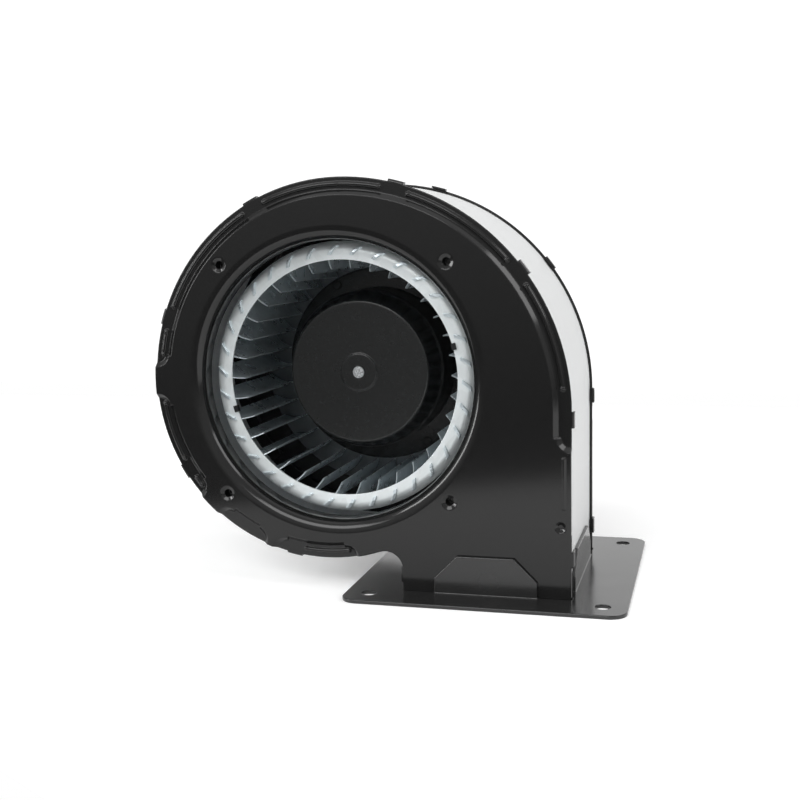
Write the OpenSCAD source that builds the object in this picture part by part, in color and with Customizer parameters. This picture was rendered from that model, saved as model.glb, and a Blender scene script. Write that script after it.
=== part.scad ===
// Single-inlet centrifugal blower with an external-rotor motor.
// The outlet points down: its flange lies on Z = 0 and is centred on the origin.
// The inlet faces -Y, and the impeller turns clockwise when seen from there.

/* [Scroll housing] */
// Depth over the two raised side panels
housing_depth = 94; // [88:0.5:110]
// Offset of the housing's middle plane from the flange's middle
housing_y = -3; // [-6:0.5:6]
// Height of the impeller axis above the flange's lower face
axis_height = 101.5; // [99:0.5:120]
// Distance from the middle of the outlet to the impeller axis
axis_offset = 73; // [70:0.5:80]
// Width of the outlet neck
neck_w = 80; // [74:0.5:90]
// Radius of the scroll's quarter arc at the upper right
scroll_r_right = 108.8; // [106:0.1:112]
// Drop of that arc's centre below the impeller axis
scroll_drop = 12.8; // [10:0.1:14]
// Radius of the scroll's quarter arc at the upper left
scroll_r_left = 96.2; // [94:0.1:98]
// Radius of the scroll's arc along the bottom
scroll_r_bottom = 86; // [84:0.1:88]
// Radius of the tongue between the scroll and the neck
tongue_r = 8.5; // [6:0.1:10]
// Sheet thickness of the side plates
plate_t = 1; // [0.8:0.1:1.4]
// Sheet thickness of the wrapper
wrap_t = 0.8; // [0.6:0.1:1.2]
// Width of the recessed rim along the scroll
rim_w = 6; // [5.6:0.1:7]
// Depth of the recessed rim below the panel
rim_depth = 2; // [1.6:0.1:2.6]
// Width of the sloped step between the rim and the panel
rim_slope = 2.2; // [1:0.1:2.6]
// Radius of the recessed rim's rounded ends
rim_end_r = 4.6; // [3.6:0.1:5]
// Distance of the rim's ribs from the plate's edge
rib_inset = 3.4; // [3:0.1:3.8]
// Radius of the rim's ribs
rib_r = 1.1; // [0.7:0.05:1.2]
// Radius of the ribs' rounded ends
rib_end_r = 1.25; // [0.9:0.05:1.3]
// Overhang of the side plates past the wrapper
edge_lip = 1.4; // [1:0.1:1.5]
// Width of the hem along the side plates' edges
hem_w = 2.4; // [2.3:0.1:3]
// Length of each folded lug along the rim
lug_w = 7.5; // [5:0.5:10]
// How far a lug stands out from the rim
lug_proud = 1.2; // [1:0.1:2]
// Reach of a lug over the wrapper
lug_reach = 3; // [2.5:0.1:7]
// Height of the neck's end above the flange's lower face
neck_end = 0.5; // [0.2:0.1:1]
// Diameter of the dimple near the neck's right edge
dimple_d = 5.4; // [4:0.1:6]
// Diameter of the dimple's bottom
dimple_floor_d = 2; // [1:0.1:3]
// Depth of the dimple
dimple_depth = 1.3; // [0.8:0.1:1.6]

/* [Outlet flange] */
// Width of the flange along X
flange_w = 133; // [129:1:150]
// Depth of the flange along Y
flange_d = 140; // [134:1:160]
// Thickness of the flange and its upstands
flange_t = 1.8; // [1.4:0.1:2.5]
// Corner radius of the flange
flange_corner = 8; // [4:0.5:9]
// Hole spacing along X
bolt_dx = 110; // [104:0.5:112]
// Hole spacing along Y
bolt_dy = 115; // [112:0.5:118]
// Diameter of the bolt holes
bolt_hole_d = 7; // [5:0.1:8]
// Height of the upstands
tab_h = 20; // [16:0.5:26]
// Height of the upstand beside the tongue
tongue_tab_h = 9; // [6:0.5:10]
// Width of the front and rear upstands
front_tab_w = 49; // [40:0.5:60]
// Width of the side upstands
side_tab_w = 68; // [50:0.5:72]
// Corner chamfer of the upstands
tab_chamfer = 11; // [6:0.5:13]
// Clearance between the neck and the flange's window
window_gap = 0.3; // [0.1:0.1:0.6]

/* [Inlet] */
// Throat radius of the inlet collar
throat_r = 67.2; // [67:0.1:68]
// Distance from the panel's face back to the collar's edge
collar_len = 12; // [9:0.5:14]
// Radius of the rounded mouth between the panel and the collar
mouth_round = 6.5; // [5:0.1:7]
// Spacing of the guard holes along X and Z
guard_pitch = 112; // [108:0.5:116]
// Diameter of the guard holes
guard_hole_d = 3.7; // [3:0.1:4.5]
// Diameter of the sink round each guard hole
guard_ring_d = 7.4; // [6.6:0.1:9]
// Depth of the sink round each guard hole
guard_sink = 1; // [0.6:0.1:1.4]
// Depth of the drawn cup behind each guard hole
guard_cup_l = 6; // [4:0.5:8]

/* [Impeller] */
// Distance from the front panel's face to the impeller's ring
ring_depth = 15; // [14.5:0.5:20]
// Width of the impeller from its front ring to its back disc
impeller_w = 72.4; // [66:0.1:73]
// Outer radius of the impeller's ring and back disc
impeller_r = 66.5; // [65.5:0.1:66.6]
// Inner radius of the front ring
ring_in_r = 57.6; // [56:0.1:58.5]
// Inner radius of the blades
blade_in_r = 53; // [51:0.1:55]
// Clear distance from the blades' outer edges to the ring's rim
blade_edge = 1.6; // [1.2:0.1:2.4]
// Number of blades
blade_n = 34; // [24:1:40]
// Turn of the blades from the X axis
blade_phase = 8.4; // [0:0.1:15]
// Sheet thickness of the blades
blade_t = 0.6; // [0.4:0.05:0.9]
// Radius of the blades' curve
blade_curve_r = 16; // [14:0.5:20]
// Lean of the blades from radial at their tabs
blade_lean = 37; // [30:0.5:45]
// Length of the cut at the blades' inner front corners
blade_cut = 6; // [3:0.5:9]
// Sheet thickness of the ring and the back disc
ring_t = 1; // [0.8:0.1:1.4]
// Radius of the ring's rolled edge
ring_roll = 5; // [4:0.1:5.5]
// Radius at the middle of the blade tabs
tab_r = 62.2; // [61:0.1:62.6]
// Length of the blade tabs
tab_l = 3.6; // [3:0.1:4]
// How far the tabs stand out from the sheet
tab_proud = 1.3; // [0.6:0.1:1.6]
// Clearance round the tabs in their slots
tab_gap = 0.15; // [0.1:0.05:0.2]
// Growth of the peened heads past the tabs
head_grow = 0.45; // [0.3:0.05:0.6]
// Number of rivets between the back disc and the rotor
rivet_n = 6; // [4:1:9]
// Diameter of the rivet shanks
rivet_d = 3; // [2.4:0.1:3.4]
// Diameter of the rivet heads
rivet_head_d = 5; // [4.4:0.1:5.6]
// Height of the rivet heads
rivet_head_h = 0.9; // [0.6:0.1:1.2]
// Width of a balance clip along the ring
clip_w = 3.2; // [2:0.1:3.6]
// Reach of a balance clip over the ring
clip_reach = 1.6; // [1:0.1:2]
// Sheet thickness of a balance clip
clip_t = 0.6; // [0.4:0.05:0.8]

/* [Rotor] */
// Radius of the rotor's front face
can_face_r = 36.7; // [35.5:0.1:38]
// Radius of the rotor's barrel
can_barrel_r = 41.2; // [40.6:0.1:42]
// Radius of the rotor's flange
can_flange_r = 52.2; // [51.8:0.1:52.6]
// Length of the rotor from its face to its flange
can_l = 44; // [43.5:0.1:46]
// Distance from the rotor's face to its shoulder
can_nose_l = 13.2; // [12:0.1:14]
// Wall of the rotor can
can_wall = 1.6; // [1.2:0.1:1.8]
// Edge radius of the rotor's face
can_edge_r = 1.2; // [0.8:0.1:3]
// Edge radius of the rotor's shoulder
shoulder_edge_r = 1; // [0.6:0.1:1.4]
// Radius of the hub boss
hub_r = 9.5; // [8:0.1:12]
// Length of the hub
hub_l = 6; // [5:0.1:6.5]
// Height of the boss step on the face
hub_step = 0.8; // [0.2:0.1:1]
// Diameter of the shaft
shaft_d = 6; // [5:0.1:6.4]
// How far the shaft stands out from the boss
shaft_proud = 0.8; // [0.4:0.1:2]
// Chamfer at the shaft's front end
shaft_chamfer = 0.4; // [0.3:0.1:1]
// Radial clearance of pressed and sliding fits
fit_gap = 0.02; // [0.01:0.01:0.04]
// Number of cage bars
cage_bar_n = 28; // [20:1:32]
// Diameter of the cage bars
cage_bar_d = 2.8; // [2:0.1:3.2]
// Thickness of the cage's end rings
cage_ring_t = 2.4; // [1.6:0.1:2.8]

/* [Stator] */
// Radius of the stator core
stator_r = 32.5; // [31.5:0.1:32.8]
// Length of the stator core and the rotor laminations
stack_l = 20; // [18:0.5:20.5]
// Radial air gap between stator and rotor
air_gap = 0.4; // [0.3:0.05:0.6]
// Number of stator slots
slot_n = 12; // [9:1:14]
// Width of a slot
slot_w = 5.4; // [4.5:0.1:6]
// Width of a slot's mouth
slot_mouth = 2.4; // [1.8:0.1:3]
// Depth of the tooth tips
tooth_tip = 3.5; // [2.5:0.1:4.5]
// Depth of the slots below the tooth tips
slot_depth = 10.5; // [9:0.1:11]
// Clearance of the windings in their slots
slot_gap = 0.3; // [0.2:0.05:0.5]
// Thickness of the slot insulators
insulator_t = 0.8; // [0.5:0.1:1]
// Height of the end turns at each end of the stack
end_turn_h = 4.6; // [3.5:0.1:4.8]

/* [Bearings and mounting] */
// Outer diameter of the bearings
bearing_d = 19; // [18:0.1:20]
// Width of the bearings
bearing_w = 6; // [5.5:0.1:6.2]
// Diameter of the balls
ball_d = 3.5; // [3.2:0.05:3.6]
// Number of balls
ball_n = 7; // [6:1:8]
// Running clearance of the balls
ball_gap = 0.08; // [0.05:0.01:0.1]
// Thickness of the bearing rings at their shoulders
race_t = 1.7; // [1.6:0.05:1.75]
// Wall of the bearing tube
tube_wall = 3; // [2.5:0.1:3.2]
// Radius of the motor's mounting flange
mount_r = 44; // [42:0.1:44.8]
// Thickness of the motor's mounting flange
mount_t = 3.4; // [3:0.1:3.6]
// Radius of the spigot in the rear plate
spigot_r = 16; // [14:0.1:18]
// Clearance of the spigot in the rear plate
spigot_gap = 0.1; // [0.05:0.05:0.2]
// Circle radius of the motor screws
motor_screw_r = 36; // [34:0.1:38]
// Thread diameter of the motor screws
motor_screw_d = 4; // [3:0.1:4.5]
// Clearance of the motor screws in the rear plate
motor_screw_gap = 0.25; // [0.15:0.05:0.4]
// Head diameter of the motor screws
motor_head_d = 7; // [6:0.1:8]
// Head height of the motor screws
motor_head_h = 2.6; // [2:0.1:3.4]
// Width across the corners of the screws' hex sockets
motor_socket_d = 3.4; // [2.6:0.1:3.8]
// Thickness of the screw washers
washer_t = 0.8; // [0.5:0.1:1.2]
// Diameter of the screw washers
washer_d = 9; // [8.2:0.1:10]
// Distance of the cable grommet below the axis
grommet_r = 26; // [24:0.5:28]
// Diameter of the cable grommet in the rear plate
grommet_d = 9; // [7:0.1:10]
// Flange width of the cable grommet
grommet_lip = 1.8; // [1.2:0.1:2]
// Bore of the cable grommet
grommet_bore = 5; // [4:0.1:5.4]

/* [Hidden] */
$fn = 96;
// A length that surely passes through the whole blower
through = 400;

// Planes across the housing, from the inlet to the back
panel_front = housing_y - housing_depth / 2;
panel_rear = housing_y + housing_depth / 2;
rim_front = panel_front + rim_depth;
wrap_front = rim_front + plate_t;
wrap_rear = panel_rear - rim_depth - plate_t;
panel_rear_in = panel_rear - plate_t;

// The outline's arc centres, seen from the inlet with the impeller axis at [0, 0]
right_x = axis_offset + neck_w / 2;
left_x = axis_offset - neck_w / 2;
function unit(a) = [cos(a), sin(a)];
c_right = [right_x - scroll_r_right, -scroll_drop];
c_left = c_right + [0, scroll_r_right - scroll_r_left];
c_bottom = c_left - [scroll_r_left - scroll_r_bottom, 0];
tongue_x = left_x - tongue_r;
tongue_reach = scroll_r_bottom + tongue_r;
tongue_run = tongue_x - c_bottom[0];
tongue_z = c_bottom[1] - sqrt(tongue_reach * tongue_reach - tongue_run * tongue_run);
tongue = [tongue_x, tongue_z];
tongue_turn = atan2(c_bottom[1] - tongue[1], c_bottom[0] - tongue[0]);
scroll_end = tongue_turn + 180;
// Turn by which the first and last arcs run into the neck
arc_lap = 15;
neck_bottom = neck_end - axis_height;

// Lug places: angles on each arc, and heights on the straight edges
lugs_right = [37, 75];
lugs_left = [117, 161];
lugs_bottom = [212, 259];
front_lugs_neck = [20.5, 85.2];
rear_lugs_neck = [15.5, 85.2];
lug_tongue = 9.5;
// Recessed stretches of the rim: angles on the upper right, upper left and bottom arcs
recess_right = [0, 90];
recess_left = [90, 172];
recess_bottom = [[189, 218], [234, 245], [256, 277]];
// Rounded ends among these
round_left = 172;
round_bottom = [189, 218, 234, 245, 256, 277];
// Height at which the recessed rim ends on the right edge
recess_foot = 77;
recess_wall = (rim_end_r + rim_slope + plate_t) / scroll_r_bottom * 180 / PI;
// Ribs along the recessed rim, on the same arcs
ribs_right = [[6, 33], [41, 71], [79, 90]];
ribs_left = [[90, 113], [121, 157], [165, 172]];
ribs_bottom = [[188, 208], [216, 219], [263, 278]];
// Heights between which a bead runs down the neck's right edge
neck_bead = [44, 68];
// The dimple's place
dimple = [axis_offset + neck_w / 2 - 4.9, 35.6 - axis_height];

// Planes of the impeller and the rotor
ring_front = panel_front + ring_depth;
disc_front = ring_front + impeller_w;
blade_out_r = impeller_r - blade_edge;
blade_mid = [tab_r, 0];
blade_centre = blade_mid + blade_curve_r * unit(-90 - blade_lean);
tab_in = tab_r - tab_l / 2;
tab_out = tab_r + tab_l / 2;
roll_r = impeller_r - ring_roll;
roll_y = ring_front + ring_roll;
disc_in_r = mount_r + 2;
rivet_circle_r = (disc_in_r + can_flange_r) / 2;
can_flange_y = disc_front;
can_face_y = can_flange_y - can_l;
shoulder_y = can_face_y + can_nose_l;
shaft_r = shaft_d / 2;
barrel_in_r = can_barrel_r - can_wall;
nose_in_r = can_face_r - can_wall;

// Planes and radii of the motor's inside
cage_clear = 0.4;
bearing_step = 1.2;
hub_end = can_face_y + hub_l;
hub_relief = 0.6;
front_bearing_y = hub_end;
cage_front = shoulder_y + can_wall + cage_clear;
stack_y = cage_front + cage_ring_t;
stack_end = stack_y + stack_l;
mount_y = panel_rear_in - mount_t;
rear_bearing_y = stack_end + insulator_t;
bearing_r = bearing_d / 2;
tube_r = bearing_r + tube_wall;
tube_bore_r = bearing_r - bearing_step;
tube_front = hub_end;
pitch_r = (shaft_r + fit_gap + bearing_r) / 2;
inner_land_r = shaft_r + fit_gap + race_t;
outer_land_r = bearing_r - race_t;
wave_t = 0.5;
wave_play = 0.1;
circlip_t = 0.7;
circlip_w = 1.4;
circlip_y = rear_bearing_y + bearing_w + fit_gap;
shaft_end = circlip_y + circlip_t + 1;
cap_t = 1.5;
lamination_in_r = stator_r + air_gap;
cage_bar_r = barrel_in_r - cage_bar_d / 2 - 2 * cage_clear;
slot_out_r = stator_r - tooth_tip;
slot_in_r = slot_out_r - slot_depth;

// Colours
black_paint = "#262626";
zinc = "#c9cdd0";
pale_sheet = "#dedede";
cast_aluminium = "#a9adb0";
steel = "#9a9da0";
copper = "#b8733a";
rubber = "#1c1c1c";

// Moves children from the impeller axis to their place in the blower
module on_axis() {
    translate([-axis_offset, 0, axis_height]) children();
}

// Turns a profile, drawn as radius and Y, about the impeller axis
module turned() {
    on_axis() rotate([-90, 0, 0]) rotate_extrude() children();
}

// Turns such a profile through a short arc about an angle seen from the inlet
module along_ring(a, half) {
    on_axis() rotate([-90, 0, 0]) rotate([0, 0, -a - half]) rotate_extrude(angle = 2 * half) children();
}

// Gives thickness from Y = y0 to Y = y1 to a shape drawn as seen from the inlet
module slab(y0, y1) {
    on_axis() translate([0, y1, 0]) rotate([90, 0, 0]) linear_extrude(y1 - y0) children();
}

// A round bar along Y at a place seen from the inlet
module bar(p, r, y0, y1) {
    on_axis() translate([p[0], y0, p[1]]) rotate([-90, 0, 0]) cylinder(r = r, h = y1 - y0);
}

// A conical sink from the panel's face down to a depth
module cone_sink(p, r0, r1, depth) {
    on_axis() translate([p[0], panel_front - depth, p[1]]) rotate([-90, 0, 0])
        cylinder(r1 = 2 * r0 - r1, r2 = r1, h = 2 * depth);
}

// A profile rectangle between two radii and two planes
module band(r0, r1, y0, y1) {
    translate([r0, y0]) square([r1 - r0, y1 - y0]);
}

// Mirrors the front of the housing to its back
module to_rear() {
    translate([0, 2 * housing_y, 0]) mirror([0, 1, 0]) children();
}

// A slice of a disc between two angles
module sector(r, a0, a1) {
    far = 2 * r;
    mid = (a0 + a1) / 2;
    intersection() {
        circle(r);
        polygon([[0, 0], far * unit(a0), far * unit(mid), far * unit(a1)]);
    }
}

// The scroll between two planes, drawn in by an inset on every edge
module scroll_solid(inset, y0, y1) {
    slab(y0, y1) translate(c_right) sector(scroll_r_right - inset, -arc_lap, 90);
    slab(y0, y1) translate(c_left) sector(scroll_r_left - inset, 90, 180);
    slab(y0, y1) translate(c_bottom) sector(scroll_r_bottom - inset, 180, scroll_end + arc_lap);
    slab(y0, y1) difference() {
        polygon([
            c_bottom, c_left, c_right, [right_x - inset, c_right[1]], [right_x - inset, neck_bottom],
            [left_x + inset, neck_bottom], [left_x + inset, tongue[1]], tongue
        ]);
        translate(tongue) circle(tongue_r + inset);
    }
}

// Sweeps a profile, drawn as inset and Y, along an arc of the outline
module along_arc(centre, r, a0, a1) {
    on_axis() translate([centre[0], 0, centre[1]]) rotate([-90, 0, 0]) rotate([0, 0, -a1])
        rotate_extrude(angle = a1 - a0) translate([r, 0]) mirror([1, 0]) children();
}

// Sweeps a profile down the neck's right edge between two heights
module along_right(z0, z1) {
    translate([neck_w / 2, 0, z0]) mirror([1, 0, 0]) linear_extrude(z1 - z0) children();
}

// Sweeps a profile down the neck's left edge between two heights
module along_left(z0, z1) {
    translate([-neck_w / 2, 0, z0]) linear_extrude(z1 - z0) children();
}

// Slices of the scroll over the recessed stretches, with the walls at their ends
module recess_slices() {
    foot = recess_foot - rim_end_r - rim_slope - plate_t - axis_height;
    slab(panel_front, wrap_front) translate(c_right) sector(scroll_r_right, -arc_lap, recess_right[1]);
    slab(panel_front, wrap_front)
        polygon([c_right, [right_x, c_right[1]], [right_x, foot], [c_right[0], foot]]);
    slab(panel_front, wrap_front) translate(c_left)
        sector(scroll_r_left, recess_left[0], recess_left[1] + recess_wall);
    for (a = recess_bottom) {
        slab(panel_front, wrap_front) translate(c_bottom)
            sector(scroll_r_bottom, a[0] - recess_wall, a[1] + recess_wall);
    }
}

// Sheet under the recessed rim and its sloped step
module rim_bed() {
    difference() {
        recess_slices();
        scroll_solid(rim_w + rim_slope + plate_t, panel_front - 1, wrap_front + 1);
    }
}

// A slice of the pressed-out rim on one arc, outside the cone that forms its sloped step
module pocket_slice(centre, r, a0, a1) {
    difference() {
        slab(panel_front - rim_depth / 2, rim_front) translate(centre) sector(r + rim_w, a0, a1);
        on_axis() translate([centre[0], panel_front - rim_depth, centre[1]]) rotate([-90, 0, 0])
            cylinder(r1 = r - rim_w - 2 * rim_slope, r2 = r - rim_w + rim_slope, h = 3 * rim_depth);
    }
}

// Rounded end of the pressed-out rim at a place on the outline
module pocket_end(p) {
    on_axis() translate([p[0], panel_front - rim_depth, p[1]]) rotate([-90, 0, 0])
        cylinder(r1 = rim_end_r + 2 * rim_slope, r2 = rim_end_r, h = 2 * rim_depth);
}

// Space that is pressed out of the front of the rim
module rim_pocket() {
    pocket_slice(c_right, scroll_r_right, recess_right[0], recess_right[1]);
    pocket_slice(c_left, scroll_r_left, recess_left[0], recess_left[1]);
    for (a = recess_bottom) {
        pocket_slice(c_bottom, scroll_r_bottom, a[0], a[1]);
    }
    pocket_end(c_left + scroll_r_left * unit(round_left));
    for (a = round_bottom) {
        pocket_end(c_bottom + scroll_r_bottom * unit(a));
    }
    along_right(recess_foot, axis_height + c_right[1]) polygon([
        [-rim_w, panel_front - rim_depth], [rim_w + 2 * rim_slope, panel_front - rim_depth],
        [rim_w, rim_front], [-rim_w, rim_front]
    ]);
    pocket_end([right_x, recess_foot - axis_height]);
}

// Section of a rib on the rim
module rib_profile() {
    intersection() {
        translate([rib_inset, rim_front]) circle(rib_r);
        translate([rib_inset - rib_r, rim_front - rib_r]) square([2 * rib_r, rib_r + plate_t / 2]);
    }
}

// Rounded end of a rib at a place seen from the inlet
module rib_end(p) {
    on_axis() translate([p[0], rim_front + plate_t / 2 - rib_end_r / 2, p[1]]) sphere(rib_end_r);
}

// Section of a lug that folds back over the wrapper from the sheet at a plane
module lug_profile(y) {
    bend = lug_proud;
    translate([bend - lug_proud, y]) square([rim_w / 2, plate_t]);
    translate([-lug_proud, y + bend]) square([plate_t, wrap_front + lug_reach - y - bend]);
    intersection() {
        translate([bend - lug_proud, y + bend]) circle(bend);
        translate([-lug_proud, y]) square(bend);
    }
}

// Lugs and ribs on one arc of the outline
module rim_parts(centre, r, lugs, ribs) {
    half = lug_w / r * 90 / PI;
    for (a = lugs) {
        along_arc(centre, r, a - half, a + half) lug_profile(rim_front);
    }
    for (a = ribs) {
        along_arc(centre, r, a[0], a[1]) rib_profile();
        rib_end(centre + (r - rib_inset) * unit(a[0]));
        rib_end(centre + (r - rib_inset) * unit(a[1]));
    }
}

// A side plate before its openings are cut, as it lies on the inlet side
module plate_blank(lugs_neck) {
    difference() {
        union() {
            difference() {
                scroll_solid(0, panel_front, wrap_front);
                scroll_solid(hem_w, panel_front + plate_t, wrap_front + 1);
            }
            rim_bed();
        }
        rim_pocket();
    }
    rim_parts(c_right, scroll_r_right, lugs_right, ribs_right);
    rim_parts(c_left, scroll_r_left, lugs_left, ribs_left);
    rim_parts(c_bottom, scroll_r_bottom, lugs_bottom, ribs_bottom);
    for (z = lugs_neck) {
        along_right(z - lug_w / 2, z + lug_w / 2) lug_profile(z > recess_foot ? rim_front : panel_front);
    }
    along_right(neck_bead[0], neck_bead[1]) translate([rib_inset, panel_front + plate_t / 2]) circle(rib_r);
    along_left(lug_tongue - lug_w / 2, lug_tongue + lug_w / 2) lug_profile(panel_front);
}

// Section of the inlet: a rounded mouth from the panel into a straight collar
module inlet_profile() {
    mouth_y = panel_front + mouth_round;
    band(mouth_r, mouth_r + plate_t, panel_front, panel_front + plate_t);
    intersection() {
        translate([mouth_r, mouth_y]) difference() {
            circle(mouth_round);
            circle(mouth_round - plate_t);
        }
        band(throat_r, mouth_r, panel_front, mouth_y);
    }
    band(throat_r, throat_r + plate_t, mouth_y, panel_front + collar_len);
}

mouth_r = throat_r + mouth_round;
guard_places = [for (x = [-1, 1], z = [-1, 1]) [x, z] * guard_pitch / 2];

// Black side plate with the inlet
module front_side_plate() {
    guard_r = guard_hole_d / 2;
    ring_r = guard_ring_d / 2;
    dimple_r = dimple_d / 2;
    cup_end = panel_front + guard_cup_l;
    color(black_paint) difference() {
        union() {
            difference() {
                plate_blank(front_lugs_neck);
                bar([0, 0], mouth_r + plate_t / 2, -through, through);
            }
            turned() inlet_profile();
            for (p = guard_places) {
                bar(p, ring_r, panel_front, panel_front + guard_sink + plate_t);
                bar(p, guard_r + plate_t, panel_front, cup_end + plate_t);
            }
            bar(dimple, dimple_r, panel_front, panel_front + dimple_depth + plate_t);
        }
        for (p = guard_places) {
            cone_sink(p, ring_r, guard_r, guard_sink);
            bar(p, guard_r, panel_front, cup_end);
        }
        cone_sink(dimple, dimple_r, dimple_floor_d / 2, dimple_depth);
    }
}

motor_screw_places = [for (i = [0:3]) motor_screw_r * unit(45 + 90 * i)];
grommet_place = [0, -grommet_r];

// Black side plate that carries the motor
module rear_side_plate() {
    color(black_paint) difference() {
        to_rear() plate_blank(rear_lugs_neck);
        bar([0, 0], spigot_r + spigot_gap, wrap_rear, through);
        bar(grommet_place, grommet_d / 2, wrap_rear, through);
        for (p = motor_screw_places) {
            bar(p, motor_screw_d / 2 + motor_screw_gap, wrap_rear, through);
        }
    }
}

// Sheet rolled round the scroll, the tongue and the neck
module scroll_wrapper() {
    color(pale_sheet) difference() {
        scroll_solid(edge_lip, wrap_front, wrap_rear);
        scroll_solid(edge_lip + wrap_t, wrap_front - 1, wrap_rear + 1);
    }
}

// Outline of an upstand with its two upper corners cut off
module upstand_2d(w, h) {
    cut = tab_chamfer * h / tab_h;
    polygon([
        [-w / 2, 0], [w / 2, 0], [w / 2, h - cut], [w / 2 - cut, h], [cut - w / 2, h], [-w / 2, h - cut]
    ]);
}

// Window for the neck, narrower along the wrapper
module window_2d(side_x) {
    window_w = neck_w + 2 * window_gap;
    window_d = housing_depth + 2 * window_gap;
    square([2 * side_x, window_d], center = true);
    difference() {
        square([window_w, window_d], center = true);
        square([window_w + 1, wrap_rear - wrap_front - 2 * window_gap], center = true);
    }
}

// Pressed flange with a window for the neck and four upstands welded to it
module outlet_flange() {
    corner_x = flange_w / 2 - flange_corner;
    corner_y = flange_d / 2 - flange_corner;
    side_x = neck_w / 2 - edge_lip;
    color(black_paint) {
        linear_extrude(flange_t) difference() {
            union() {
                square([flange_w, 2 * corner_y], center = true);
                square([2 * corner_x, flange_d], center = true);
                for (x = [-corner_x, corner_x], y = [-corner_y, corner_y]) {
                    translate([x, y]) circle(flange_corner);
                }
            }
            translate([0, housing_y]) window_2d(side_x);
            for (x = [-bolt_dx / 2, bolt_dx / 2], y = [-bolt_dy / 2, bolt_dy / 2]) {
                translate([x, y]) circle(d = bolt_hole_d);
            }
        }
        for (turn = [0, 180]) {
            translate([0, housing_y, 0]) rotate([0, 0, turn]) {
                translate([0, -housing_depth / 2, 0]) rotate([90, 0, 0])
                    linear_extrude(flange_t) upstand_2d(front_tab_w, tab_h);
                translate([side_x, 0, 0]) rotate([90, 0, 90])
                    linear_extrude(flange_t) upstand_2d(side_tab_w, turn == 0 ? tab_h : tongue_tab_h);
            }
        }
    }
}

// Curved section of one blade, widened by an amount on both faces, between two distances from the axis
module blade_2d(grow, x0, x1) {
    half = blade_t / 2 + grow;
    intersection() {
        translate(blade_centre) difference() {
            circle(blade_curve_r + half);
            circle(blade_curve_r - half);
        }
        translate([x0, blade_centre[1]]) square([x1 - x0, blade_curve_r * 2]);
    }
}

// Slot or tab section on the blade line, grown by a clearance
module tab_2d(gap) {
    blade_2d(gap, tab_in - gap, tab_out + gap);
}

// Repeats a shape at every blade
module at_blades(which) {
    for (i = which) {
        rotate(blade_phase + 360 / blade_n * i) children();
    }
}

all_blades = [0:blade_n - 1];

// Bright front ring with a rolled rim and a slot for each blade
module impeller_front_ring() {
    color(zinc) difference() {
        turned() {
            band(ring_in_r, roll_r, ring_front, ring_front + ring_t);
            intersection() {
                translate([roll_r, roll_y]) difference() {
                    circle(ring_roll);
                    circle(ring_roll - ring_t);
                }
                band(roll_r, impeller_r, ring_front, roll_y);
            }
        }
        slab(ring_front - ring_t, roll_y) at_blades(all_blades) tab_2d(tab_gap);
    }
}

// How far the ring's rolled edge falls back at a radius
function roll_drop(r) = ring_roll - sqrt(pow(ring_roll, 2) - pow(r - roll_r, 2));

// Side view of a peened head that lies on the ring, clear of its rolled edge by a hair
module head_profile() {
    hair = 0.1;
    head_out = tab_out + head_grow;
    head_drop = roll_drop(head_out) - hair;
    polygon([
        [tab_in - head_grow, ring_front - tab_proud], [roll_r, ring_front - tab_proud],
        [head_out, ring_front - tab_proud + head_drop], [head_out, ring_front + head_drop],
        [roll_r + 1, ring_front], [tab_in - head_grow, ring_front]
    ]);
}

// Side view of one blade with its cut corner and a tab at both ends
module blade_profile(tab_front, tab_back) {
    blade_front = ring_front + ring_t;
    tab_drop = roll_drop(tab_out);
    polygon([
        [blade_in_r, blade_front + blade_cut], [ring_in_r, blade_front], [tab_in, blade_front],
        [tab_in, tab_front], [tab_out, tab_front + tab_drop], [tab_out, roll_y],
        [blade_out_r, roll_y], [blade_out_r, disc_front], [tab_out, disc_front],
        [tab_out, tab_back], [tab_in, tab_back], [tab_in, disc_front], [blade_in_r, disc_front]
    ]);
}

// Bends a side view along the blade's curve, with the blade's thickness grown on both faces
module on_blade(grow) {
    far = impeller_w;
    intersection() {
        translate([0, disc_front + far, 0]) rotate([90, 0, 0])
            linear_extrude(impeller_w + 2 * far) blade_2d(grow, blade_in_r - 1, impeller_r);
        translate([0, 0, -blade_curve_r]) linear_extrude(2 * blade_curve_r) children();
    }
}

// Forward-curved blades, each with a tab at both ends and a peened head on the ring
module impeller_blades() {
    color(zinc) for (i = all_blades) {
        on_axis() rotate([0, -blade_phase - 360 / blade_n * i, 0]) {
            on_blade(0) blade_profile(ring_front - tab_proud / 2, disc_front + ring_t + tab_proud);
            on_blade(head_grow) head_profile();
        }
    }
}

rivet_places = [for (i = [0:rivet_n - 1]) rivet_circle_r * unit(360 / rivet_n * i)];

// Bright annular disc that carries the blades at the back
module impeller_back_disc() {
    color(zinc) difference() {
        turned() band(disc_in_r, impeller_r, disc_front, disc_front + ring_t);
        slab(disc_front - ring_t, disc_front + 2 * ring_t) at_blades(all_blades) tab_2d(tab_gap);
        for (p = rivet_places) {
            bar(p, rivet_d / 2 + fit_gap, disc_front - ring_t, disc_front + 2 * ring_t);
        }
    }
}

// Rivets through the rotor's flange and the back disc
module impeller_rivets() {
    front = can_flange_y - can_wall;
    back = disc_front + ring_t;
    color(steel) for (p = rivet_places) {
        bar(p, rivet_d / 2, front, back);
        bar(p, rivet_head_d / 2, front - rivet_head_h, front);
        bar(p, rivet_head_d / 2, back, back + rivet_head_h);
    }
}

// Gaps between blades that hold a balance clip, counted from the first blade
clip_gaps = [0, 17];
clip_share = 0.7;

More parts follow.
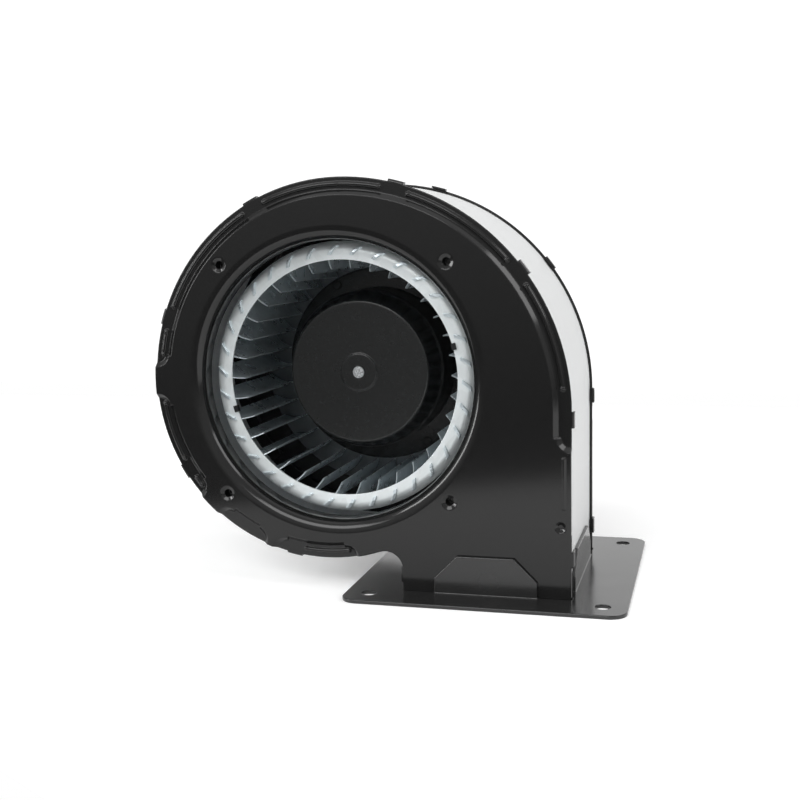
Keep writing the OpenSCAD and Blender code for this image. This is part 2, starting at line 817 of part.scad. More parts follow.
// Spring clips pushed over the inner edge of the front ring
module balance_clips() {
    half = clip_w / ring_in_r * 90 / PI;
    color(rubber) for (i = clip_gaps) {
        along_ring(blade_phase + 360 / blade_n * (i + clip_share), half) difference() {
            band(ring_in_r - clip_t, ring_in_r + clip_reach, ring_front - clip_t, ring_front + ring_t + clip_t);
            band(ring_in_r - fit_gap, impeller_r, ring_front - fit_gap, ring_front + ring_t + fit_gap);
        }
    }
}

// Black external rotor with a tapered nose, a shoulder and a flange
module rotor_can() {
    edge = can_face_r - can_edge_r;
    shoulder_in = can_barrel_r - shoulder_edge_r;
    color(black_paint) difference() {
        turned() {
            difference() {
                union() {
                    band(0, edge, can_face_y, shoulder_y);
                    polygon([
                        [0, can_face_y + can_edge_r], [can_face_r, can_face_y + can_edge_r],
                        [shoulder_in, shoulder_y], [0, shoulder_y]
                    ]);
                    translate([edge, can_face_y + can_edge_r]) circle(can_edge_r);
                    band(0, shoulder_in, shoulder_y, can_flange_y);
                    band(0, can_barrel_r, shoulder_y + shoulder_edge_r, can_flange_y);
                    translate([shoulder_in, shoulder_y + shoulder_edge_r]) circle(shoulder_edge_r);
                    band(0, can_flange_r, can_flange_y - can_wall, can_flange_y);
                    band(0, hub_r, can_face_y - hub_step, can_face_y);
                }
                band(0, shaft_r + fit_gap, can_face_y - can_l, can_face_y + can_l);
                polygon([
                    [0, can_face_y + can_wall], [nose_in_r, can_face_y + can_wall],
                    [shoulder_in - can_wall, shoulder_y + can_wall], [0, shoulder_y + can_wall]
                ]);
                band(0, barrel_in_r, shoulder_y + can_wall, can_flange_y + can_wall);
            }
            band(shaft_r + fit_gap, hub_r, can_face_y - hub_step, hub_end - hub_relief);
            band(shaft_r + fit_gap, inner_land_r, hub_end - hub_relief, hub_end);
        }
        for (p = rivet_places) {
            bar(p, rivet_d / 2 + fit_gap, can_flange_y - 2 * can_wall, can_flange_y + can_wall);
        }
    }
}

cage_bar_places = [for (i = [0:cage_bar_n - 1]) cage_bar_r * unit(360 / cage_bar_n * i)];

// Ring of steel laminations inside the rotor can
module rotor_laminations() {
    color(steel) difference() {
        turned() band(lamination_in_r, barrel_in_r - fit_gap, stack_y, stack_end);
        for (p = cage_bar_places) {
            bar(p, cage_bar_d / 2 + fit_gap, stack_y - 1, stack_end + 1);
        }
    }
}

// Cast cage: a bar in every rotor slot and a ring at both ends
module rotor_cage() {
    color(cast_aluminium) {
        for (y = [stack_y - cage_ring_t, stack_end]) {
            turned() band(lamination_in_r + air_gap, barrel_in_r - fit_gap, y, y + cage_ring_t);
        }
        for (p = cage_bar_places) {
            bar(p, cage_bar_d / 2, stack_y, stack_end);
        }
    }
}

// Shaft, with a groove for its circlip
module shaft() {
    tip = can_face_y - hub_step - shaft_proud;
    color(steel) turned() difference() {
        polygon([
            [0, tip], [shaft_r - shaft_chamfer, tip], [shaft_r, tip + shaft_chamfer],
            [shaft_r, shaft_end], [0, shaft_end]
        ]);
        band(shaft_r - circlip_t, shaft_r + 1, circlip_y, circlip_y + circlip_t + fit_gap);
    }
}

// Split ring in the shaft's groove
module shaft_circlip() {
    groove_r = shaft_r - circlip_t + fit_gap;
    clip_r = shaft_r + circlip_w;
    color(steel) difference() {
        turned() band(groove_r, clip_r, circlip_y, circlip_y + circlip_t);
        slab(circlip_y - 1, circlip_y + 2) translate([0, -shaft_r]) square([shaft_r, shaft_d], center = true);
    }
}

// Outer ring of a bearing
module bearing_outer(y) {
    color(steel) turned() difference() {
        band(outer_land_r, bearing_r - fit_gap, y, y + bearing_w);
        translate([pitch_r, y + bearing_w / 2]) circle(ball_d / 2 + ball_gap);
    }
}

// Inner ring of a bearing
module bearing_inner(y) {
    color(steel) turned() difference() {
        band(shaft_r + fit_gap, inner_land_r, y, y + bearing_w);
        translate([pitch_r, y + bearing_w / 2]) circle(ball_d / 2 + ball_gap);
    }
}

ball_places = [for (i = [0:ball_n - 1]) pitch_r * unit(360 / ball_n * i)];

// Balls of a bearing
module bearing_balls(y) {
    color(steel) for (p = ball_places) {
        on_axis() translate([p[0], y + bearing_w / 2, p[1]]) sphere(d = ball_d);
    }
}

// Crown cage that spaces the balls
module bearing_cage(y) {
    play = 0.35;
    mid = y + bearing_w / 2;
    color(rubber) difference() {
        turned() band(inner_land_r + play, outer_land_r - play, mid + play, y + bearing_w - play);
        for (p = ball_places) {
            on_axis() translate([p[0], mid, p[1]]) sphere(d = ball_d + 2 * ball_gap);
        }
    }
}

// Die-cast carrier: mounting flange, locating spigot and bearing tube
module motor_flange() {
    color(cast_aluminium) difference() {
        turned() {
            band(tube_bore_r, tube_r, tube_front, panel_rear_in);
            band(tube_bore_r, mount_r, mount_y, panel_rear_in);
            band(tube_bore_r, spigot_r, panel_rear_in, panel_rear);
        }
        turned() {
            band(0, bearing_r, tube_front - 1, front_bearing_y + bearing_w);
            band(0, bearing_r, rear_bearing_y - wave_t, panel_rear + 1);
        }
        bar(grommet_place, grommet_d / 2, mount_y - 1, panel_rear_in + 1);
        for (p = motor_screw_places) {
            bar(p, motor_screw_d / 2 + fit_gap, mount_y - 1, panel_rear_in + 1);
        }
    }
}

// Wavy spring washer in front of the rear bearing
module wave_washer() {
    color(steel) turned() band(outer_land_r, bearing_r - wave_play, rear_bearing_y - wave_t, rear_bearing_y);
}

// Cap that closes the bearing bore at the back
module bearing_cap() {
    color(rubber) turned() band(0, bearing_r - fit_gap, panel_rear - cap_t, panel_rear);
}

// Lock washers under the motor screws
module motor_screw_washers() {
    color(steel) for (p = motor_screw_places) {
        difference() {
            bar(p, washer_d / 2, panel_rear, panel_rear + washer_t);
            bar(p, motor_screw_d / 2 + motor_screw_gap, panel_rear - 1, panel_rear + 2 * washer_t);
        }
    }
}

// Socket screws that hold the motor on the rear plate
module motor_screws() {
    seat = panel_rear + washer_t;
    top = seat + motor_head_h;
    color(steel) for (p = motor_screw_places) {
        bar(p, motor_screw_d / 2, mount_y, seat);
        difference() {
            bar(p, motor_head_d / 2, seat, top);
            on_axis() translate([p[0], top - motor_head_h / 2, p[1]]) rotate([-90, 0, 0])
                cylinder(d = motor_socket_d, h = motor_head_h, $fn = 6);
        }
    }
}

// Rubber grommet where the motor lead leaves
module cable_grommet() {
    lip_r = grommet_d / 2 + grommet_lip;
    color(rubber) difference() {
        union() {
            bar(grommet_place, grommet_d / 2 - fit_gap, mount_y, panel_rear);
            bar(grommet_place, lip_r, panel_rear, panel_rear + grommet_lip);
        }
        bar(grommet_place, grommet_bore / 2, mount_y - 1, panel_rear + 2 * grommet_lip);
    }
}

// One stator slot, drawn in by a gap
module slot_2d(gap) {
    translate([slot_in_r + gap, gap - slot_w / 2]) square([slot_depth - 2 * gap, slot_w - 2 * gap]);
}

// Repeats a shape at every stator slot
module at_slots() {
    for (i = [0:slot_n - 1]) {
        rotate(360 / slot_n * i) children();
    }
}

// Laminated stator core with open slots
module stator_core() {
    color(steel) slab(stack_y, stack_end) difference() {
        circle(stator_r);
        circle(tube_r + fit_gap);
        at_slots() {
            slot_2d(0);
            translate([slot_out_r - 1, -slot_mouth / 2]) square([tooth_tip + 2, slot_mouth]);
        }
    }
}

// Insulating washers between the core and the end turns
module slot_insulators() {
    color("#e8e4d8") for (y = [stack_y - insulator_t, stack_end]) {
        slab(y, y + insulator_t) difference() {
            circle(slot_out_r + tooth_tip / 2);
            circle(tube_r + fit_gap);
            at_slots() slot_2d(0);
        }
    }
}

// Copper windings: a bundle in every slot and a ring of end turns at both ends
module stator_windings() {
    low = stack_y - insulator_t;
    high = stack_end + insulator_t;
    color(copper) {
        slab(low, high) at_slots() slot_2d(slot_gap);
        for (y = [low - end_turn_h, high]) {
            turned() band(slot_in_r + slot_gap, slot_out_r - slot_gap, y, y + end_turn_h);
        }
    }
}

outlet_flange();
front_side_plate();
rear_side_plate();
scroll_wrapper();
motor_flange();
motor_screws();
motor_screw_washers();
cable_grommet();
bearing_cap();
stator_core();
slot_insulators();
stator_windings();
bearing_outer(front_bearing_y);  // front_bearing_outer
bearing_inner(front_bearing_y);  // front_bearing_inner
bearing_balls(front_bearing_y);  // front_bearing_balls
bearing_cage(front_bearing_y);  // front_bearing_cage
bearing_outer(rear_bearing_y);  // rear_bearing_outer
bearing_inner(rear_bearing_y);  // rear_bearing_inner
bearing_balls(rear_bearing_y);  // rear_bearing_balls
bearing_cage(rear_bearing_y);  // rear_bearing_cage
wave_washer();
shaft();
shaft_circlip();
rotor_can();
rotor_laminations();
rotor_cage();
impeller_front_ring();
impeller_blades();
impeller_back_disc();
impeller_rivets();
balance_clips();
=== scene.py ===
"""Studio scene of a single-inlet centrifugal blower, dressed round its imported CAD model."""

import logging
import math
from dataclasses import dataclass, field
from enum import Enum
from typing import Optional

import bmesh
import bpy
from mathutils import Matrix, Vector

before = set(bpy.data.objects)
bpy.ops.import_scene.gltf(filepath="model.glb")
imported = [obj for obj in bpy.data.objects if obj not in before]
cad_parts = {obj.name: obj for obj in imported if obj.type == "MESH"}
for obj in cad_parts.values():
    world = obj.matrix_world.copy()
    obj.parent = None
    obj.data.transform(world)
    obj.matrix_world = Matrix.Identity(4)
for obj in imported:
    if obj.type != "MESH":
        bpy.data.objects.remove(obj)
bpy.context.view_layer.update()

LOG = logging.getLogger("blower")
MM = 0.001
WHITE = "#ffffff"

# The wave texture runs through this many radians for each unit of its scale
WAVE_RADIANS = 20
# Octaves of noise in a smooth coat, in a grain and in the grit on spangles
COAT_DETAIL = 1.0
GRAIN_DETAIL = 4.0
GRIT_DETAIL = 3.0
# Specks of grit across one spangle, and their share of its tone
GRIT_PER_SPANGLE = 4
GRIT_SHARE = 0.35
# Rays with which a finish finds the edges that it flows over
EDGE_RAYS = 8

# Live rounding of a CAD node: points nearer than the weld are one, faces flatter than the first angle
# are one, and edges sharper than the second are rounded with a few facets
WELD_MM = 0.002
FLAT_DEG = 0.3
SHARP_DEG = 24
ROUND_FACETS = 2


def linear(hex_colour: str) -> tuple[float, float, float, float]:
    """Turns an sRGB hex colour to linear RGBA.

    Args:
        hex_colour: The colour as "#rrggbb".

    Returns:
        The linear colour with full alpha.
    """
    parts = [int(hex_colour[i:i + 2], 16) / 255 for i in (1, 3, 5)]
    flat = [c / 12.92 if c <= 0.04045 else ((c + 0.055) / 1.055) ** 2.4 for c in parts]
    return (flat[0], flat[1], flat[2], 1.0)


def add(
    tree: bpy.types.NodeTree, kind: str, inputs: Optional[dict] = None, **settings: object,
) -> bpy.types.Node:
    """Adds one node with its settings and links.

    Args:
        tree: The node tree that gets the node.
        kind: The node's type, such as "ShaderNodeTexNoise".
        inputs: Socket names or indexes, each with a value or with the output socket to link from.
        settings: Properties of the node itself.

    Returns:
        The new node.
    """
    node = tree.nodes.new(kind)
    for name, value in settings.items():
        setattr(node, name, value)
    for key, value in (inputs or {}).items():
        if isinstance(value, bpy.types.NodeSocket):
            tree.links.new(value, node.inputs[key])
        else:
            node.inputs[key].default_value = value
    return node


def per_mm(size_mm: float) -> float:
    """Gives the texture scale at which one cell of a pattern is that many millimetres."""
    return 1 / (size_mm * MM)


class Pattern(Enum):
    """The ways in which a finish varies over its surface."""

    ORANGE_PEEL = "orange peel"
    SPANGLE = "spangle"
    GRAIN = "grain"
    STACK = "stack"


@dataclass(frozen=True)
class Finish:
    """One surface finish: what the material is, and what its making leaves to see.

    Attributes:
        name: The material's name.
        dark: The deeper of its two tones, as sRGB hex.
        light: The lighter tone.
        rough: Roughness between the pattern's low and high spots.
        metallic: 1 for bare metal, 0 for paint, plastic and rubber.
        specular: Specular level of a coat or plastic.
        pattern: How the tone, roughness and relief vary.
        cell_mm: Size of the pattern's cells in millimetres.
        relief_mm: Height of the relief in millimetres.
        edge_mm: Radius in millimetres at which the finish flows over the piece's edges.
    """

    name: str
    dark: str
    light: str
    rough: tuple[float, float]
    metallic: float = 0.0
    specular: float = 0.5
    pattern: Pattern = Pattern.GRAIN
    cell_mm: float = 1.0
    relief_mm: float = 0.0
    edge_mm: float = 0.0

    def signal(self, tree: bpy.types.NodeTree) -> bpy.types.NodeSocket:
        """Builds the pattern that drives tone, roughness and relief.

        Args:
            tree: The material's node tree.

        Returns:
            A socket that runs from 0 to 1 over the pattern.
        """
        place = add(tree, "ShaderNodeTexCoord").outputs["Object"]
        if self.pattern is Pattern.SPANGLE:
            cells = add(tree, "ShaderNodeTexVoronoi", {"Vector": place, "Scale": per_mm(self.cell_mm)})
            fine = add(tree, "ShaderNodeTexNoise", {
                "Vector": place, "Scale": per_mm(self.cell_mm / GRIT_PER_SPANGLE), "Detail": GRIT_DETAIL,
            })
            tone = add(tree, "ShaderNodeSeparateColor", {"Color": cells.outputs["Color"]})
            mix = add(tree, "ShaderNodeMix", {
                "Factor": GRIT_SHARE, "A": tone.outputs["Red"], "B": fine.outputs["Fac"],
            })
            return mix.outputs["Result"]
        if self.pattern is Pattern.STACK:
            wave = add(tree, "ShaderNodeTexWave", {
                "Vector": place, "Scale": per_mm(self.cell_mm) * math.tau / WAVE_RADIANS, "Distortion": 0.0,
            }, bands_direction="Y")
            return wave.outputs["Fac"]
        noise = add(tree, "ShaderNodeTexNoise", {
            "Vector": place, "Scale": per_mm(self.cell_mm),
            "Detail": COAT_DETAIL if self.pattern is Pattern.ORANGE_PEEL else GRAIN_DETAIL,
        })
        return noise.outputs["Fac"]

    def facing(self, tree: bpy.types.NodeTree, fac: bpy.types.NodeSocket) -> bpy.types.NodeSocket:
        """Builds the normal, turned over the piece's edges and along the pattern's relief.

        Args:
            tree: The material's node tree.
            fac: The pattern's socket.

        Returns:
            The normal's socket.
        """
        edge = {}
        if self.edge_mm:
            rounded = add(tree, "ShaderNodeBevel", {"Radius": self.edge_mm * MM}, samples=EDGE_RAYS)
            edge["Normal"] = rounded.outputs["Normal"]
        relief = {"Height": fac, "Strength": 1.0, "Distance": self.relief_mm * MM}
        return add(tree, "ShaderNodeBump", {**relief, **edge}).outputs["Normal"]

    def material(self) -> bpy.types.Material:
        """Makes the finish's material, or gives it again if it is there.

        Returns:
            The material.
        """
        made = bpy.data.materials.get(self.name)
        if made:
            return made
        made = bpy.data.materials.new(self.name)
        made.use_nodes = True
        tree = made.node_tree
        tree.nodes.clear()
        fac = self.signal(tree)
        tone = add(tree, "ShaderNodeMix", {
            "Factor": fac, "A": linear(self.dark), "B": linear(self.light),
        }, data_type="RGBA")
        rough = add(tree, "ShaderNodeMapRange", {
            "Value": fac, "To Min": self.rough[0], "To Max": self.rough[1],
        })
        shader = add(tree, "ShaderNodeBsdfPrincipled", {
            "Base Color": tone.outputs["Result"], "Roughness": rough.outputs["Result"],
            "Metallic": self.metallic, "Specular IOR Level": self.specular,
        })
        if self.edge_mm or self.relief_mm:
            tree.links.new(self.facing(tree, fac), shader.inputs["Normal"])
        add(tree, "ShaderNodeOutputMaterial", {"Surface": shader.outputs["BSDF"]})
        return made


# Stoved black enamel on the pressed steel: glossy, with a faint orange peel
BLACK_COAT = Finish("black_stoved_enamel", "#161616", "#181818", (0.12, 0.15), specular=0.4,
                    pattern=Pattern.ORANGE_PEEL, cell_mm=2.2, relief_mm=0.0004, edge_mm=0.9)
# The same enamel on the flange, its gloss smudged where it is held and bolted down
FLANGE_COAT = Finish("black_flange_enamel", "#1d1d1d", "#262626", (0.12, 0.26), specular=0.6,
                     pattern=Pattern.GRAIN, cell_mm=16.0, relief_mm=0.0005, edge_mm=0.5)
# Sprayed black on the rotor, the rivets too: a little duller than the housing's enamel
ROTOR_COAT = Finish("black_rotor_enamel", "#1c1d1d", "#202121", (0.22, 0.27), specular=0.5,
                    pattern=Pattern.ORANGE_PEEL, cell_mm=1.8, relief_mm=0.0005, edge_mm=1.2)
# Galvanised strip of the impeller's ring: pale, cool zinc, dulled by its passivation, with soft spangles
ZINC_RING = Finish("galvanised_ring_strip", "#e1e7e8", "#edf3f4", (0.28, 0.38), metallic=0.3,
                   pattern=Pattern.SPANGLE, cell_mm=5.0, relief_mm=0.0005, edge_mm=0.3)
# Thinner galvanised strip of the blades: brighter metal, so that it mirrors the dark between the blades
ZINC_BLADE = Finish("galvanised_blade_strip", "#ced8dd", "#dde7eb", (0.25, 0.35), metallic=0.7,
                    pattern=Pattern.SPANGLE, cell_mm=5.0, relief_mm=0.0005, edge_mm=0.4)
# Galvanised sheet of the back disc, darkened to a dim grey as painted shade: the zinc gets the dull tone of
# the shade behind the blades
ZINC_DISC_IN_PAINTED_SHADE = Finish("galvanised_disc_in_painted_shade", "#6c7072", "#7b7f81", (0.36, 0.44), metallic=0.9,
                   pattern=Pattern.SPANGLE, cell_mm=6.0, relief_mm=0.0005)
# Coated sheet of the wrapper: pale, matt and nearly even
WRAPPER_SHEET = Finish("pale_coated_wrapper_sheet", "#e2e3e3", "#e6e7e7", (0.5, 0.56), specular=0.2,
                       pattern=Pattern.GRAIN, cell_mm=14.0)
# Die-cast aluminium: grey, with a fine skin from the die
CAST_ALUMINIUM = Finish("die_cast_aluminium", "#8f9396", "#a9adb0", (0.42, 0.58), metallic=1.0,
                        pattern=Pattern.GRAIN, cell_mm=0.9, relief_mm=0.02)
# Stacked electrical sheet, half a millimetre each, drawn at one millimetre so that it shows
LAMINATED_STEEL = Finish("stacked_lamination_steel", "#5c6064", "#8a8e91", (0.4, 0.55), metallic=1.0,
                         pattern=Pattern.STACK, cell_mm=1.0, relief_mm=0.03)
# Enamelled copper wire, about a third of a millimetre thick, drawn at 0.9 mm so that it shows
WINDING_COPPER = Finish("enamelled_copper_wire", "#7a3c16", "#b8692f", (0.25, 0.4), metallic=1.0,
                        pattern=Pattern.STACK, cell_mm=0.9, relief_mm=0.08)
# Moulded nylon, cream and slightly waxy
INSULATOR_NYLON = Finish("moulded_cream_nylon", "#d8d2c0", "#e6e1d2", (0.45, 0.55),
                         pattern=Pattern.GRAIN, cell_mm=1.2, relief_mm=0.01)
# Ground and lapped bearing steel
BEARING_STEEL = Finish("ground_bearing_steel", "#b9bdc0", "#cdd0d2", (0.12, 0.2), metallic=1.0,
                       pattern=Pattern.GRAIN, cell_mm=0.6)
# Glass-filled polyamide of the ball cages and the cap
CAGE_POLYAMIDE = Finish("black_polyamide", "#191919", "#222222", (0.45, 0.6),
                        pattern=Pattern.GRAIN, cell_mm=0.6, relief_mm=0.01)
# Turned steel with a thin bright zinc plate
BRIGHT_STEEL = Finish("zinc_plated_turned_steel", "#c6cacc", "#dcdfe0", (0.22, 0.34), metallic=0.65,
                      pattern=Pattern.GRAIN, cell_mm=0.5, relief_mm=0.004, edge_mm=0.4)
# Phosphated spring steel: dark grey and dull
SPRING_STEEL = Finish("phosphated_spring_steel", "#191a1b", "#2c2d2e", (0.4, 0.55), metallic=0.6,
                      pattern=Pattern.GRAIN, cell_mm=0.5, relief_mm=0.005)
# Moulded rubber with a fine bloom
GROMMET_RUBBER = Finish("moulded_black_rubber", "#151515", "#1f1f1f", (0.6, 0.75), specular=0.35,
                        pattern=Pattern.GRAIN, cell_mm=0.8, relief_mm=0.01)


def soften(name: str, width_mm: float) -> None:
    """Rounds the sharp edges of a CAD node with live modifiers.

    Args:
        name: The node's name.
        width_mm: Width of the rounding in millimetres.
    """
    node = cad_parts[name]
    weld = node.modifiers.new("weld", "WELD")
    weld.merge_threshold = WELD_MM * MM
    flat = node.modifiers.new("flat", "DECIMATE")
    flat.decimate_type = "DISSOLVE"
    flat.angle_limit = math.radians(FLAT_DEG)
    bevel = node.modifiers.new("edge", "BEVEL")
    bevel.width = width_mm * MM
    bevel.segments = ROUND_FACETS
    bevel.limit_method = "ANGLE"
    bevel.angle_limit = math.radians(SHARP_DEG)
    bevel.use_clamp_overlap = False


@dataclass
class SubAssembly:
    """A group of CAD nodes that are dressed together.

    Attributes:
        finishes: The finish of each node.
        softened: Edge rounding of each node that gets one, in millimetres.
    """

    finishes: dict[str, Finish] = field(default_factory=dict)
    softened: dict[str, float] = field(default_factory=dict)

    def dress(self) -> None:
        """Gives every node its finish and its softened edges."""
        for name, finish in self.finishes.items():
            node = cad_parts[name]
            node.data.materials.clear()
            node.data.materials.append(finish.material())
            LOG.info("%s is dressed in %s", name, finish.name)
        for name, width in self.softened.items():
            soften(name, width)
            LOG.info("%s has its edges rounded by %.2f mm", name, width)


@dataclass
class ScrollHousing(SubAssembly):
    """The two side plates, the wrapper and the outlet flange."""

    finishes: dict[str, Finish] = field(default_factory=lambda: {
        "front_side_plate": BLACK_COAT,
        "rear_side_plate": BLACK_COAT,
        "scroll_wrapper": WRAPPER_SHEET,
        "outlet_flange": FLANGE_COAT,
    })
    softened: dict[str, float] = field(default_factory=lambda: {
        "outlet_flange": 0.35,
    })


@dataclass
class Impeller(SubAssembly):
    """The slotted ring, the blades, the back disc and what is fixed to them."""

    finishes: dict[str, Finish] = field(default_factory=lambda: {
        "impeller_front_ring": ZINC_RING,
        "impeller_blades": ZINC_BLADE,
        # The back disc's dark grey zinc is painted shade from behind the blades
        "impeller_back_disc": ZINC_DISC_IN_PAINTED_SHADE,
        "impeller_rivets": ROTOR_COAT,
        "balance_clips": SPRING_STEEL,
    })


@dataclass
class ExternalRotor(SubAssembly):
    """The turning half of the motor."""

    finishes: dict[str, Finish] = field(default_factory=lambda: {
        "rotor_can": ROTOR_COAT,
        "rotor_laminations": LAMINATED_STEEL,
        "rotor_cage": CAST_ALUMINIUM,
        "shaft": BRIGHT_STEEL,
        "shaft_circlip": SPRING_STEEL,
    })


@dataclass
class Stator(SubAssembly):
    """The still half of the motor and what holds it on the rear plate."""

    finishes: dict[str, Finish] = field(default_factory=lambda: {
        "motor_flange": CAST_ALUMINIUM,
        "stator_core": LAMINATED_STEEL,
        "slot_insulators": INSULATOR_NYLON,
        "stator_windings": WINDING_COPPER,
        "motor_screws": BRIGHT_STEEL,
        "motor_screw_washers": BRIGHT_STEEL,
        "bearing_cap": CAGE_POLYAMIDE,
        "cable_grommet": GROMMET_RUBBER,
    })


@dataclass
class Bearings(SubAssembly):
    """Both ball bearings and the washer that preloads them."""

    finishes: dict[str, Finish] = field(default_factory=lambda: {
        "front_bearing_outer": BEARING_STEEL,
        "front_bearing_inner": BEARING_STEEL,
        "front_bearing_balls": BEARING_STEEL,
        "rear_bearing_outer": BEARING_STEEL,
        "rear_bearing_inner": BEARING_STEEL,
        "rear_bearing_balls": BEARING_STEEL,
        "front_bearing_cage": CAGE_POLYAMIDE,
        "rear_bearing_cage": CAGE_POLYAMIDE,
        "wave_washer": SPRING_STEEL,
    })


@dataclass(frozen=True)
class Softbox:
    """A soft rectangular lamp that points at the blower.

    Attributes:
        name: The lamp's name.
        place_m: Its middle in metres.
        size_m: Its width and height in metres.
        power: Its power in watts.
    """

    name: str
    place_m: tuple[float, float, float]
    size_m: tuple[float, float]
    power: float

    def build(self, target: Vector) -> None:
        """Adds the lamp to the scene.

        Args:
            target: The point that it faces.
        """
        lamp = bpy.data.lights.new(self.name, "AREA")
        lamp.energy = self.power
        lamp.shape = "RECTANGLE"
        lamp.size, lamp.size_y = self.size_m
        box = bpy.data.objects.new(self.name, lamp)
        box.location = self.place_m
        box.rotation_euler = (target - box.location).to_track_quat("-Z", "Y").to_euler()
        bpy.context.scene.collection.objects.link(box)


@dataclass
class Studio:
    """The floor, the light and the camera.

    Attributes:
        eye_mm: The camera's place in millimetres.
        yaw: Turn of the view to the left of the Y axis, in degrees.
        pitch: Tilt of the view below level, in degrees.
        roll: Roll of the camera, in degrees.
        lens_mm: Focal length on the sensor below.
        sensor_mm: Width of the sensor.
        near_m: Nearest distance that the camera sees.
        floor_colour: Colour of the floor, as sRGB hex.
        floor_half_m: Half width of the floor in metres.
        floor_front_m: Where the floor ends in front, in metres along Y, at its left and at its right edge.
        floor_back_m: Where the floor ends behind.
        floor_lift: Glow that keeps the floor white to the camera, under the scroll and far from it. The
            weaker glow under the scroll is painted shade that deepens the floor's shadow there, and the
            stronger glow farther out is painted light that lifts the lamps' shadows there to white.
        floor_fade_m: Distances from the scroll's foot between which that glow grows, so that the painted
            shade fades out.
        scroll_foot_m: The point on the floor under the scroll, the middle of that painted shade.
        backdrop_colour: Colour of the backdrop, as sRGB hex, which its glow lifts to white.
        backdrop_glow: Strength of that glow.
        backdrop_m: Distance of the backdrop behind the blower.
        backdrop_half_m: Half width of the backdrop.
        backdrop_span_m: Heights of the backdrop's lower and upper edge.
        sky: Strength of the even light all round.
        mirrored_sky: Strength of that light in reflections near the floor and higher up: the room
            in front is dim.
        horizon: Heights of a direction between which the reflected light grows.
        lit_point_m: The point that the lamps face.
        softboxes: The lamps.
    """

    eye_mm: tuple[float, float, float] = (103.8, -575.8, 167.2)
    yaw: float = 15.28
    pitch: float = 7.70
    roll: float = 1.16
    lens_mm: float = 52.9
    sensor_mm: float = 36.0
    near_m: float = 0.01
    floor_colour: str = "#f2f2f2"
    floor_half_m: float = 0.9
    floor_front_m: tuple[float, float] = (0.19, -0.85)
    floor_back_m: float = 0.6
    # Weaker glow under the scroll than far from it: painted shade round the scroll's foot, painted light
    # farther out
    floor_lift: tuple[float, float] = (0.2, 0.5)
    floor_fade_m: tuple[float, float] = (0.12, 0.36)
    scroll_foot_m: tuple[float, float, float] = (-0.1, 0.0, 0.0)
    backdrop_colour: str = "#808080"
    backdrop_glow: float = 1.0
    backdrop_m: float = 1.5
    backdrop_half_m: float = 1.5
    backdrop_span_m: tuple[float, float] = (-0.1, 1.4)
    sky: float = 0.45
    mirrored_sky: tuple[float, float] = (0.12, 0.6)
    horizon: tuple[float, float] = (-0.14, 0.12)
    lit_point_m: tuple[float, float, float] = (0.0, 0.0, 0.1)
    softboxes: tuple[Softbox, ...] = (
        Softbox("overhead", (0.0, 0.05, 1.1), (1.3, 1.0), 2.0),
        Softbox("left", (-1.1, -0.55, 0.45), (0.2, 0.9), 6.0),
        Softbox("right", (1.05, -0.2, 0.95), (0.8, 0.7), 7.0),
        Softbox("front", (-0.3, -1.0, 0.85), (0.9, 0.5), 6.5),
    )

    def camera(self) -> None:
        """Sets up the camera at the photograph's viewing angle."""
        yaw, pitch, roll = (math.radians(a) for a in (self.yaw, self.pitch, self.roll))
        flat = math.cos(pitch)
        ahead = Vector((-math.sin(yaw) * flat, math.cos(yaw) * flat, -math.sin(pitch)))
        level = Vector((math.cos(yaw), math.sin(yaw), 0.0))
        down = ahead.cross(level)
        right = math.cos(roll) * level + math.sin(roll) * down
        up = math.sin(roll) * level - math.cos(roll) * down
        data = bpy.data.cameras.new("camera")
        data.lens = self.lens_mm
        data.sensor_width = self.sensor_mm
        data.sensor_fit = "HORIZONTAL"
        data.clip_start = self.near_m
        eye = bpy.data.objects.new("camera", data)
        turn = Matrix((right, up, -ahead)).transposed().to_4x4()
        eye.matrix_world = Matrix.Translation(Vector(self.eye_mm) * MM) @ turn
        bpy.context.scene.collection.objects.link(eye)
        bpy.context.scene.camera = eye

    def sheet(
        self, name: str, corners: tuple[tuple[float, float, float], ...], paint: bpy.types.Material,
    ) -> None:
        """Puts up one flat sheet of the stage.

        Args:
            name: The sheet's name.
            corners: Its corners in metres, anticlockwise as seen from its face.
            paint: Its material.
        """
        form = bmesh.new()
        bmesh.ops.contextual_create(form, geom=[form.verts.new(corner) for corner in corners])
        mesh = bpy.data.meshes.new(name)
        form.to_mesh(mesh)
        form.free()
        mesh.materials.append(paint)
        piece = bpy.data.objects.new(name, mesh)
        bpy.context.scene.collection.objects.link(piece)

    def paint(self, name: str, colour: str, glows: tuple[float, float]) -> bpy.types.Material:
        """Mixes a matt paint that glows only towards the camera and in reflections.

        Args:
            name: The material's name.
            colour: Its colour as sRGB hex.
            glows: Strength of the glow under the scroll and far from it. The weaker glow under the
            scroll is painted shade, and the stronger glow far from it is painted light.

        Returns:
            The material.
        """
        made = bpy.data.materials.new(name)
        made.use_nodes = True
        tree = made.node_tree
        tree.nodes.clear()
        matt = add(tree, "ShaderNodeBsdfDiffuse", {"Color": linear(colour)})
        path = add(tree, "ShaderNodeLightPath")
        watched = add(tree, "ShaderNodeMath", {
            0: path.outputs["Is Camera Ray"], 1: path.outputs["Is Glossy Ray"],
        }, operation="MAXIMUM")
        away = add(tree, "ShaderNodeVectorMath", {
            0: add(tree, "ShaderNodeTexCoord").outputs["Object"], 1: self.scroll_foot_m,
        }, operation="DISTANCE")
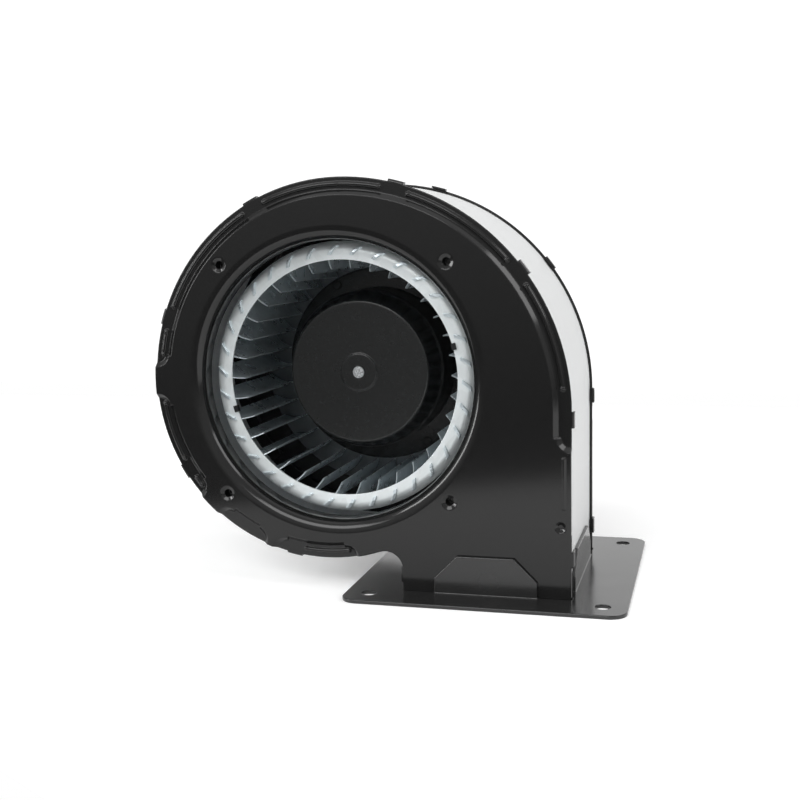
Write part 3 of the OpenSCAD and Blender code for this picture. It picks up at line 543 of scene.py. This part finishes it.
        # The glow is weakest at the scroll's foot: painted shade there, seen by the camera and in
        # reflections
        level = add(tree, "ShaderNodeMapRange", {
            "Value": away.outputs["Value"],
            "From Min": self.floor_fade_m[0], "From Max": self.floor_fade_m[1],
            "To Min": glows[0], "To Max": glows[1],
        })
        lift = add(tree, "ShaderNodeMath", {
            0: watched.outputs["Value"], 1: level.outputs["Result"],
        }, operation="MULTIPLY")
        glow = add(tree, "ShaderNodeEmission", {"Strength": lift.outputs["Value"]})
        both = add(tree, "ShaderNodeAddShader", {0: matt.outputs["BSDF"], 1: glow.outputs["Emission"]})
        add(tree, "ShaderNodeOutputMaterial", {"Surface": both.outputs["Shader"]})
        return made

    def stage(self) -> None:
        """Lays a pale floor that shows the object's shadow and painted shade round the scroll's foot, and
        hangs a white backdrop behind it.
        """
        half, (left, right), back = self.floor_half_m, self.floor_front_m, self.floor_back_m
        floor = ((-half, left, 0), (half, right, 0), (half, back, 0), (-half, back, 0))
        self.sheet("floor", floor, self.paint("pale_floor", self.floor_colour, self.floor_lift))
        wide, (low, high), far = self.backdrop_half_m, self.backdrop_span_m, self.backdrop_m
        wall = ((-wide, far, low), (wide, far, low), (wide, far, high), (-wide, far, high))
        even = (self.backdrop_glow, self.backdrop_glow)
        self.sheet("backdrop", wall, self.paint("white_backdrop", self.backdrop_colour, even))

    def light(self) -> None:
        """Sets an even white surround and the softboxes."""
        world = bpy.data.worlds.new("white_studio")
        bpy.context.scene.world = world
        world.use_nodes = True
        tree = world.node_tree
        tree.nodes.clear()
        path = add(tree, "ShaderNodeLightPath")
        aim = add(tree, "ShaderNodeSeparateXYZ", {
            "Vector": add(tree, "ShaderNodeTexCoord").outputs["Generated"],
        })
        dim = add(tree, "ShaderNodeMapRange", {
            "Value": aim.outputs["Z"], "From Min": self.horizon[0], "From Max": self.horizon[1],
            "To Min": self.mirrored_sky[0], "To Max": self.mirrored_sky[1],
        })
        mirrored = add(tree, "ShaderNodeMapRange", {
            "Value": path.outputs["Is Glossy Ray"], "To Min": self.sky, "To Max": dim.outputs["Result"],
        })
        strength = add(tree, "ShaderNodeMapRange", {
            "Value": path.outputs["Is Camera Ray"], "To Min": mirrored.outputs["Result"], "To Max": 1.0,
        })
        sky = add(tree, "ShaderNodeBackground", {
            "Color": linear(WHITE), "Strength": strength.outputs["Result"],
        })
        add(tree, "ShaderNodeOutputWorld", {"Surface": sky.outputs["Background"]})
        for softbox in self.softboxes:
            softbox.build(Vector(self.lit_point_m))

    def build(self) -> None:
        """Builds the camera, the stage and the light."""
        self.camera()
        self.stage()
        self.light()
        bpy.context.scene.view_settings.view_transform = "Standard"
        LOG.info("the studio is set")


def main() -> None:
    """Builds the scene."""
    logging.basicConfig(level=logging.INFO, format="%(name)s: %(message)s")
    Studio().build()
    for assembly in (ScrollHousing(), Impeller(), ExternalRotor(), Stator(), Bearings()):
        assembly.dress()


if __name__ == "__main__":
    main()
